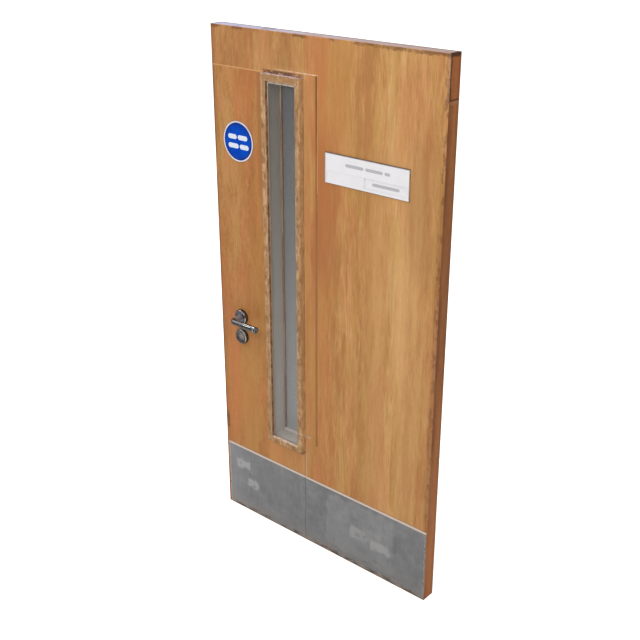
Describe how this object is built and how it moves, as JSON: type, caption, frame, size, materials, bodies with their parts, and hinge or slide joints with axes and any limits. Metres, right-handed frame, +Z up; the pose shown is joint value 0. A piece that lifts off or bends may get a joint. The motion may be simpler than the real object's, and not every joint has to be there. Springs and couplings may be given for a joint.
{
  "type": "office door leaf",
  "caption": "Timber office door leaf with a tall narrow vision panel, steel kick plates, a sprung lever handle, a round sign and a room plate with an occupancy slider.",
  "frame": {"origin": "on the face of the hinge edge, in the middle of the leaf's thickness, at its foot", "axes": "+Z up the leaf, +X out of the hinge edge, the front with the signs faces -Y"},
  "size_m": [1.057, 0.211, 2.04],
  "materials": {
    "veneer": "satin lacquer",
    "core_timber": "sawn",
    "lipping": "worn lacquer",
    "bead": "worn lacquer",
    "fillet": "satin",
    "spacer": "matt",
    "glass": "smooth",
    "kick_steel": "dull, scuffed",
    "furniture_steel": "polished, dulled",
    "lock_steel": "satin",
    "round_sign": "gloss",
    "room_sign": "satin"
  },
  "bodies": {
    "leaf": {"front_facing_head": "veneer", "front_facing_lock": "veneer", "front_facing_hinge": "veneer", "back_facing_head": "veneer", "back_facing_lock": "veneer", "back_facing_hinge": "veneer", "core_lock_stile": "core_timber", "core_hinge_stile": "core_timber", "core_head_rail": "core_timber", "core_foot_rail": "core_timber", "lipping_lock": "lipping", "lipping_hinge": "lipping", "lipping_head": "lipping", "lipping_foot": "lipping", "front_bead_lock": "bead", "front_bead_hinge": "bead", "front_bead_head": "bead", "front_bead_sill": "bead", "back_bead_lock": "bead", "back_bead_hinge": "bead", "back_bead_head": "bead", "back_bead_sill": "bead", "glazing_fillet": "fillet", "spacer_frame": "spacer", "front_glass": "glass", "back_glass": "glass", "front_kick_plate_lock": "kick_steel", "front_kick_plate_hinge": "kick_steel", "back_kick_plate_lock": "kick_steel", "back_kick_plate_hinge": "kick_steel", "front_rose": "furniture_steel", "front_escutcheon": "furniture_steel", "back_rose": "furniture_steel", "back_escutcheon": "furniture_steel", "mortice_lock": "lock_steel", "latch_bolt": "lock_steel", "round_sign": "round_sign", "room_plate": "room_sign"},
    "lever": {"front_lever": "furniture_steel", "back_lever": "furniture_steel", "spindle": "furniture_steel"},
    "slider": {"sign_slider": "room_sign"}
  },
  "joints": [
    {"name": "lever_turn", "type": "hinge", "parent": "leaf", "child": "lever", "pos_m": [-0.929, 0, 0.9155], "axis": [0, 1, 0], "range_deg": [0, 45], "stiffness_Nm_per_rad": 1.5, "springref_deg": -57.3},
    {"name": "sign_slide", "type": "slide", "parent": "leaf", "child": "slider", "axis": [1, 0, 0], "range_m": [0, 0.1786]}
  ]
}
